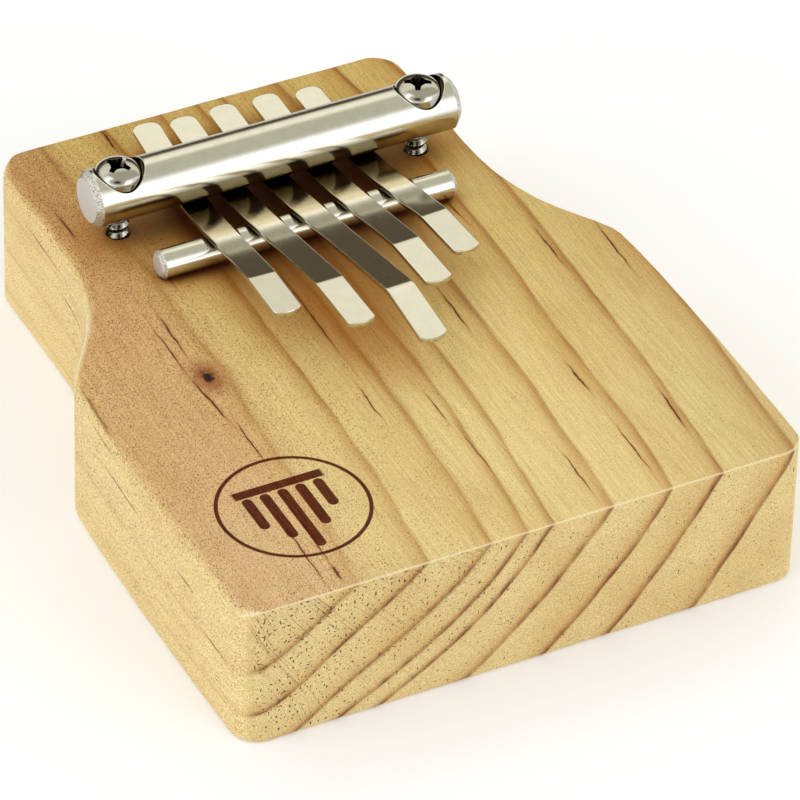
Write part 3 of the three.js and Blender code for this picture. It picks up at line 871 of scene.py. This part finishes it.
def pocket_rim(x, y):
    """The thin rolled lip round a pocket, where its wall meets the round bar: vertices and faces."""
    count, sides, thickness = 144, 8, 0.11
    upward = np.array([0, 0, 1])
    rings = []
    for i in range(count + 1):
        angle = 2 * math.pi * i / count
        across = y + POCKET_RADIUS * math.sin(angle) - BAR_Y
        height = math.sqrt(BAR_RADIUS**2 - across**2) if abs(across) < BAR_RADIUS else 0
        rim_z = BAR_Z + height - 0.4 * thickness
        centre = np.array([x + POCKET_RADIUS * math.cos(angle), BAR_Y + across, rim_z])
        outward = np.array([math.cos(angle), math.sin(angle), 0])
        ring = []
        for k in range(sides):
            turn = 2 * math.pi * k / sides
            ring.append(centre + thickness * (math.cos(turn) * outward + math.sin(turn) * upward))
        rings.append(ring)
    return loft(rings, False, False)


def clamp_bar():
    """The round clamp bar with a pocket and a through hole for each screw."""
    bar = turned("bar_blank", BAR_RADIUS, BAR_LOW[0], BAR_HIGH[0], BAR_CHAMFER, BAR_Y, BAR_Z, 144, 0.5)
    cutters = []
    rims = []
    for side, screw in SCREWS.items():
        x, y = screw["x"] + POCKET_SHIFT[0], screw["y"] + POCKET_SHIFT[1]
        cutters.append(upright(f"pocket_{side}", POCKET_RADIUS, x, y, POCKET_FLOOR, BAR_HIGH[2] + 5))
        cutters.append(upright(f"hole_{side}", THROUGH_HOLE_RADIUS, x, y, BAR_LOW[2] - 5, BAR_HIGH[2]))
        rims.append(make_object(f"rim_{side}", *pocket_rim(x, y)))
    made = cut(bar, cutters, "plated_clamp_bar", 28)
    return joined(made, rims)


def joined(target, others):
    """One object from several."""
    builder = bmesh.new()
    builder.from_mesh(target.data)
    for other in others:
        builder.from_mesh(other.data)
        bpy.data.objects.remove(other)
    builder.to_mesh(target.data)
    builder.free()
    finish_shading(target.data, 28)
    return target


def bridge_rod(name, low, high, chamfer, sides, step, flats=()):
    """A round rod that fills the box from low to high."""
    radius = (high[1] - low[1]) / 2
    centre_y = (high[1] + low[1]) / 2
    return turned(name, radius, low[0], high[0], chamfer, centre_y, low[2] + radius, sides, step, flats)


def front_rod():
    """The front rod, with a flat along each tine that leaves the tine room to slide."""
    centre_z = ROD_LOW[2] + (ROD_HIGH[1] - ROD_LOW[1]) / 2
    slide = joint("tine_1_tuning")["range_m"][1] / MM
    room = slide * FRONT_SLOPE + SLIDE_ROOM
    floor = TOP + TOP_AT_FRONT_ROD - TINE_THICKNESS - room - centre_z
    flats = []
    for line in TINE_LINES:
        middle_x = line["x_at"](FRONT_ROD_Y) + FLAT_SHIFT
        ends = (middle_x - FLAT_HALF_WIDTH, middle_x + FLAT_HALF_WIDTH)
        flats.append((*ends, -math.atan(FRONT_SLOPE), floor))
    return bridge_rod("plated_front_rod", ROD_LOW, ROD_HIGH, ROD_CHAMFER, 96, 0.5, flats)


def rear_rod():
    return bridge_rod("plated_rear_rod", REAR_ROD_LOW, REAR_ROD_HIGH, REAR_ROD_CHAMFER, 64, 1)


# Screws


def plus_outline(reach, scale):
    """A plus shape's outline: four arms that widen and curve into each other at the middle."""
    arm = [(0.98 * scale, 0.98 * scale), (1.45 * scale, 0.6 * scale), (reach, 0.45 * scale)]
    arm += [(px, -py) for px, py in arm[:0:-1]]
    points = []
    for quarter in range(4):
        turn = -quarter * math.pi / 2
        c, s = math.cos(turn), math.sin(turn)
        points += [(px * c - py * s, px * s + py * c) for px, py in arm]
    return points[::-1]


def cross_cutter(x, y, top, turn):
    """A four-armed driver recess, tapering as it goes down."""
    rings = []
    c, s = math.cos(turn), math.sin(turn)
    for reach, scale, height in ((0.9, 0.5, -2.4), (1.8, 0.8, -1.2), (2.5, 1.0, -0.3), (2.8, 1.1, 0.5)):
        outline = plus_outline(reach, scale)
        rings.append([(x + px * c - py * s, y + px * s + py * c, top + height) for px, py in outline])
    vertices, faces = loft(rings)
    return make_object("cross", vertices, faces)


def screw_head(name, screw):
    """The domed pan head, its underside closed, with the cross recess cut in."""
    profile = [(1.2, HEAD_BOTTOM), (HEAD_RADIUS - 0.25, HEAD_BOTTOM), (HEAD_RADIUS, HEAD_BOTTOM + 0.25)]
    dome = screw["top"] - HEAD_RIM
    for angle in np.radians(np.linspace(0, 88, 34)):
        profile.append((HEAD_RADIUS * math.cos(angle) ** 0.85, HEAD_RIM + dome * math.sin(angle) ** 0.85))
    angles = full_turn(96)
    rings = [[around(screw, radius, a, height) for a in angles] for radius, height in profile]
    vertices, faces = loft(rings)
    blank = make_object("head_blank", vertices, faces)
    cutter = cross_cutter(screw["x"], screw["y"], screw["top"], screw["turn"])
    return cut(blank, [cutter], name, 30)


def thread_radius(angle, depth, length):
    """The shank's radius at an angle and a depth below the head: a helix of crests, thinning to the point."""
    phase = (depth / THREAD_PITCH + angle / (2 * math.pi)) % 1
    crest = max(0.0, 1 - abs(phase - 0.5) / 0.42) ** 1.15
    run_in = min(max((depth - 2.5) / 2, 0), 1)
    size = THREAD_ROOT_RADIUS + (THREAD_RADIUS - THREAD_ROOT_RADIUS) * crest * run_in
    return size * min(1, (length - depth) / 4 + 0.03)


def screw_shank(screw):
    """The threaded shank from inside the head to its point."""
    length = HEAD_BOTTOM - screw["tip"]
    rings = []
    for depth in np.arange(-0.3, length, 0.11):
        ring = []
        for a in full_turn(48):
            radius = thread_radius(a, max(depth, 0), length)
            ring.append(around(screw, radius, a, HEAD_BOTTOM - depth))
        rings.append(ring)
    vertices, faces = loft(rings[::-1])
    return make_object("shank", vertices, faces, 50)


def screw(side):
    head = screw_head(f"plated_screw_{side}", SCREWS[side])
    return joined(head, [screw_shank(SCREWS[side])])


# Tines

SPAN_REAR = REAR_ROD_Y - TINE_LOW_Y
SPAN_FRONT = TINE_LOW_Y - FRONT_ROD_Y
SPAN = SPAN_REAR + SPAN_FRONT
LOAD = SAG * 3 * SPAN / (SPAN_REAR**2 * SPAN_FRONT**2)
CHORD = (TOP_AT_FRONT_ROD - TOP_AT_REAR_ROD) / SPAN
REAR_SLOPE = CHORD - LOAD * SPAN_REAR * SPAN_FRONT * (SPAN + SPAN_FRONT) / (6 * SPAN)
FRONT_SLOPE = CHORD + LOAD * SPAN_REAR * SPAN_FRONT * (SPAN + SPAN_REAR) / (6 * SPAN)


def line_of(index):
    """A tine's plan line from its joints: its turn about Z, and x as a function of y."""
    axis = joint(f"tine_{index}_tuning")["axis"]
    pivot = joint(f"tongue_{index}_flex")["pos_m"]
    turn = math.atan2(axis[0], -axis[1])

    def x_at(y):
        return pivot[0] / MM + math.tan(turn) * (pivot[1] / MM - y)

    return {"turn": turn, "pivot": Vector(pivot), "x_at": x_at}


TINE_LINES = [line_of(i) for i in range(1, 6)]


def deflection(u, far_span):
    """How far the bar presses the strip down at u from one rod, with far_span from the bar to the other."""
    return LOAD * far_span * u * (SPAN**2 - far_span**2 - u**2) / (6 * SPAN)


def held_height(u):
    """A strip's top above the board, u forward of the rear rod: a beam on two rods, pressed down."""
    if u < 0:
        return TOP_AT_REAR_ROD + REAR_SLOPE * u
    if u > SPAN:
        return TOP_AT_FRONT_ROD + FRONT_SLOPE * (u - SPAN)
    bend = deflection(u, SPAN_FRONT) if u <= SPAN_REAR else deflection(SPAN - u, SPAN_REAR)
    return TOP_AT_REAR_ROD + CHORD * u - bend


def top_height(tine, y):
    """The same at y, with the tine's own bend and tip."""
    tip_slope = math.tan(math.radians(tine["tip_slope"]))
    half_bend = BEND_RADIUS * (FRONT_SLOPE - tip_slope) / 2
    ahead = tine["bend"] - y
    bend_height = held_height(REAR_ROD_Y - tine["bend"])
    if ahead < -half_bend:
        return held_height(REAR_ROD_Y - y)
    if ahead > half_bend:
        return bend_height + tip_slope * ahead
    return bend_height + FRONT_SLOPE * ahead - (ahead + half_bend) ** 2 / (2 * BEND_RADIUS)


def half_plan(tine, rear, tip):
    """Half of a strip's plan from the middle of its rear end to the middle of its tip: half width and y."""
    half = TINE_WIDTH / 2
    rear_drop = REAR_ARC_RADIUS - math.sqrt(REAR_ARC_RADIUS**2 - (half - REAR_CORNER) ** 2)
    spread = math.degrees(math.asin((half - REAR_CORNER) / REAR_ARC_RADIUS))
    rear_arc = arc((0, rear - REAR_ARC_RADIUS), REAR_ARC_RADIUS, 90, 90 - spread, 4)
    corner = arc((half - REAR_CORNER, rear - rear_drop - REAR_CORNER), REAR_CORNER, 90 - spread, 0, 10)[1:]
    tip_corner = arc_corner(half, tip, TIP_ARC_RADIUS, TIP_CORNER)
    start, end = corner[-1][1], tip_corner[0][1]
    ys = set(np.linspace(start, end, int((start - end) / 0.9)))
    ys |= set(np.linspace(tine["bend"] + 0.6, tine["bend"] - 0.6, 9))
    side = np.array([(half, y) for y in sorted(ys, reverse=True)])[1:-1]
    return np.concatenate([rear_arc, corner, side, tip_corner])


def arc_corner(half, tip, big, small):
    """From a strip's side round a small corner onto the large arc of its tip, ending at the middle."""
    centre_x = half - small
    centre_y = tip + big - math.sqrt((big - small) ** 2 - centre_x**2)
    meet = math.degrees(math.atan2(-(tip + big - centre_y), centre_x))
    corner = arc((centre_x, centre_y), small, 0, meet, 8)
    return np.concatenate([corner, arc((0, tip + big), big, meet, -90, 10)[1:]])


def tine(index):
    """One spring-steel strip, rear end to tip, bent as the bar and rods hold it, with eased edges."""
    settings, line = TINES[index - 1], TINE_LINES[index - 1]
    rear = box_mm(f"tine_root_{index}")[1][1]
    tip = box_mm(f"tine_tongue_{index}")[0][1]
    half = half_plan(settings, rear, tip)
    outline = np.concatenate([half, (half * (-1, 1))[-2:0:-1]])[::-1]
    normals = outline_normals(outline)
    ease = 0.16
    levels = [(ease + 0.07, 0.0), (ease, 0.0), (0.3 * ease, 0.3 * ease), (0.0, ease)]
    levels += [(inset, TINE_THICKNESS - depth) for inset, depth in reversed(levels)]
    rings = []
    for inset, depth in levels:
        plan = outline - normals * inset
        rings.append([bent_point(settings, line, x, y, depth) for x, y in plan])
    vertices, faces = loft(rings[::-1], False, False)
    count = len(outline)
    last = (len(rings) - 1) * count
    faces += ladder(count, 0, True) + ladder(count, last, False)
    made = make_object(f"steel_tine_{index}", vertices, faces, 40)
    pivot = line["pivot"]
    tip_point = Vector((line["x_at"](tip), tip, pivot.z / MM)) * MM
    return made, pivot, tip_point


def ladder(count, base, flip):
    """Quads across a symmetric ring of `count` points whose first point is the middle of one end."""
    faces = []
    for i in range(count // 2):
        a, b = i, (i + 1) % count
        c, d = (count - i - 1) % count, (count - i) % count
        ring = [base + k for k in (a, b, c, d)]
        face = [k for n, k in enumerate(ring) if k not in ring[:n]]
        if len(face) > 2:
            faces.append(tuple(reversed(face)) if flip else tuple(face))
    return faces


def bent_point(settings, line, x, y, depth):
    """A strip's plan point at a depth below its top surface, bent and turned into place."""
    step = 0.05
    slope = (top_height(settings, y - step) - top_height(settings, y + step)) / (2 * step)
    tilt = math.atan(slope)
    strip_y = y - depth * math.sin(tilt)
    z = TOP + top_height(settings, y) - depth * math.cos(tilt)
    centre = line["x_at"](strip_y)
    return (centre + x * math.cos(line["turn"]), strip_y + x * math.sin(line["turn"]), z)


# Camera, light and floor

CAMERA_AZIMUTH = math.radians(27.795)
CAMERA_ELEVATION = math.radians(38.483)
CAMERA_ROLL = math.radians(1.740)
CAMERA_DISTANCE = 1.23606
CAMERA_AIM = (0.008841, 0.006860)
CAMERA_LENS = 307.4


def make_camera():
    view = Vector((
        math.sin(CAMERA_AZIMUTH) * math.cos(CAMERA_ELEVATION),
        math.cos(CAMERA_AZIMUTH) * math.cos(CAMERA_ELEVATION),
        -math.sin(CAMERA_ELEVATION),
    ))
    level = Vector((math.cos(CAMERA_AZIMUTH), -math.sin(CAMERA_AZIMUTH), 0))
    upward = level.cross(view)
    right = math.cos(CAMERA_ROLL) * level + math.sin(CAMERA_ROLL) * upward
    up = math.cos(CAMERA_ROLL) * upward - math.sin(CAMERA_ROLL) * level
    data = bpy.data.cameras.new("camera")
    data.lens = CAMERA_LENS
    data.sensor_width = 36
    data.clip_start, data.clip_end = 0.05, 20
    camera = add_object("camera", data)
    place = right * CAMERA_AIM[0] + up * CAMERA_AIM[1] - view * CAMERA_DISTANCE
    turn = Matrix((right, up, -view)).transposed().to_4x4()
    camera.matrix_world = Matrix.Translation(place) @ turn
    bpy.context.scene.camera = camera


# Colour of the studio by angle over the object, from the front horizon (0) over the top to the back (180)
STUDIO = [
    (0, (1.2, 1.2, 1.2)),
    (44, (1.2, 1.2, 1.2)),
    (55, (0.66, 0.66, 0.55)),
    (62, (0.6, 0.6, 0.49)),
    (109, (0.6, 0.595, 0.47)),
    (123, (1.16, 1.13, 0.96)),
    (132, (1.13, 1.1, 0.93)),
    (140, (1.06, 1.03, 0.87)),
    (146, (0.9, 0.87, 0.73)),
    (150.5, (0.8, 0.75, 0.6)),
    (153, (0.4, 0.32, 0.19)),
    (155, (0.12, 0.095, 0.06)),
    (180, (0.05, 0.04, 0.03)),
]
STUDIO_LEVEL = 1.1
# The bright panel at the front: its colour, where it starts and ends to the right, and where its top fades,
# in degrees above the front horizon
PANEL = (2.3, 2.3, 2.25, 1)
PANEL_EDGES = (0.0, 0.2, 0.55, 0.75)
PANEL_TOP = (42, 34)
LEFT_WALL = (1.98, 2.0, 2.1, 1)
# The dark place in front, high on the left: its direction, and the cosines off it where it fades in. A wider,
# paler shade surrounds it.
STAND = (-0.36, -0.69, 0.62)
STAND_EDGES = (0.94, 0.98)
STAND_COLOUR = (0.02, 0.018, 0.015, 1)
SHADE_EDGES = (0.74, 0.9)
SHADE = (0.24, 0.235, 0.19, 1)


def make_studio():
    """A soft room: white in front with a bright panel, grey overhead, cream behind over a dark strip."""
    world = bpy.data.worlds.new("studio")
    bpy.context.scene.world = world
    world.use_nodes = True
    net = Graph(world.node_tree)
    direction = net.node("ShaderNodeTexCoord").outputs["Generated"]
    x, y, z = net.split(direction)
    angle = net.math("ARCTAN2", net.maximum(z, 0.0), net.times(y, -1))
    peak = PANEL[0]
    stops = [(degrees / 180, tuple(c / peak for c in colour) + (1,)) for degrees, colour in STUDIO]
    light = net.ramp(net.math("DIVIDE", angle, math.pi), stops)
    start, full, fading, end = PANEL_EDGES
    panel = net.times(net.remap(x, start, full), net.remap(x, end, fading))
    low = net.remap(angle, math.radians(PANEL_TOP[0]), math.radians(PANEL_TOP[1]))
    light = net.mix(net.times(panel, low), light, tuple(c / peak for c in PANEL[:3]) + (1,))
    left = net.times(net.remap(x, -0.2, -0.5, smooth=True), net.remap(y, 0.45, 0.0, smooth=True))
    light = net.mix(left, light, tuple(c / peak for c in LEFT_WALL[:3]) + (1,))
    toward = net.node("ShaderNodeVectorMath", direction, STAND, operation="DOT_PRODUCT").outputs["Value"]
    light = net.mix(net.remap(toward, *SHADE_EDGES, 0, 0.9, smooth=True), light, SHADE)
    light = net.mix(net.remap(toward, *STAND_EDGES, 0, 0.95, smooth=True), light, STAND_COLOUR)
    background = world.node_tree.nodes["Background"]
    net.put(light, background.inputs["Color"])
    background.inputs["Strength"].default_value = peak * STUDIO_LEVEL


def make_floor():
    mesh = bpy.data.meshes.new("floor")
    half = 6.0
    corners = [(-half, -half, 0), (half, -half, 0), (half, half, 0), (-half, half, 0)]
    mesh.from_pydata(corners, [], [(0, 1, 2, 3)])
    floor = add_object("floor", mesh)
    floor.location.z = -0.0002
    material, _, shader = new_material("floor_paper")
    shader.inputs["Base Color"].default_value = (0.965, 0.975, 1, 1)
    shader.inputs["Roughness"].default_value = 0.9
    shader.inputs["Specular IOR Level"].default_value = 0.1
    shader.inputs["Emission Color"].default_value = (0.7, 0.73, 1, 1)
    shader.inputs["Emission Strength"].default_value = 0.17
    mesh.materials.append(material)


def dress(piece, material, slot, *nodes):
    """Gives a piece its material and hides the CAD nodes it stands for. The slot is not used."""
    piece.data.materials.clear()
    piece.data.materials.append(material)
    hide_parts(*nodes)


def main():
    make_camera()
    make_studio()
    make_floor()
    bpy.context.scene.view_settings.view_transform = "Standard"

    pine = pine_material()
    bar_ends = (BAR_LOW[0] + BAR_CHAMFER, BAR_HIGH[0] - BAR_CHAMFER, BAR_CHAMFER)
    rod_ends = (ROD_LOW[0] + ROD_CHAMFER, ROD_HIGH[0] - ROD_CHAMFER, ROD_CHAMFER)
    bar_plate = metal_material("bar_plate", NICKEL, 0.15, (0.25, 9, 9), 0.5, bar_ends, bar=True)
    rod_plate = metal_material("rod_plate", NICKEL, 0.18, (0.3, 8, 8), 0.8, rod_ends)
    # Strong painted shade in the screws' cross recesses and under their heads.
    screw_plate = metal_material("screw_plate", SCREW_PLATE, 0.1, (3, 3, 3), 0.4, shelter_shade=(3, 0.85, 0.4, 5))
    steel = metal_material("tine_steel", SPRING_STEEL, 0.1, (7, 0.25, 7), 0.15, mottle=0.06)

    pieces = [
        (board(), pine, "pine", "soundboard", "soundboard"),
        (front_rod(), rod_plate, "rod_plate", "front_bridge_rod", "soundboard"),
        (rear_rod(), rod_plate, "rod_plate", "rear_bridge_rod", "soundboard"),
        (clamp_bar(), bar_plate, "bar_plate", "clamp_bar", "clamp_bar"),
        (screw("left"), screw_plate, "screw_plate", "clamp_screw_left", "clamp_screw_left"),
        (screw("right"), screw_plate, "screw_plate", "clamp_screw_right", "clamp_screw_right"),
    ]
    for piece, material, slot, node, body in pieces:
        dress(piece, material, slot, node)
        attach(piece, body)
    for index in range(1, 6):
        strip, pivot, tip_point = tine(index)
        dress(strip, steel, "tine_steel", f"tine_root_{index}", f"tine_tongue_{index}")
        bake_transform(strip)


main()
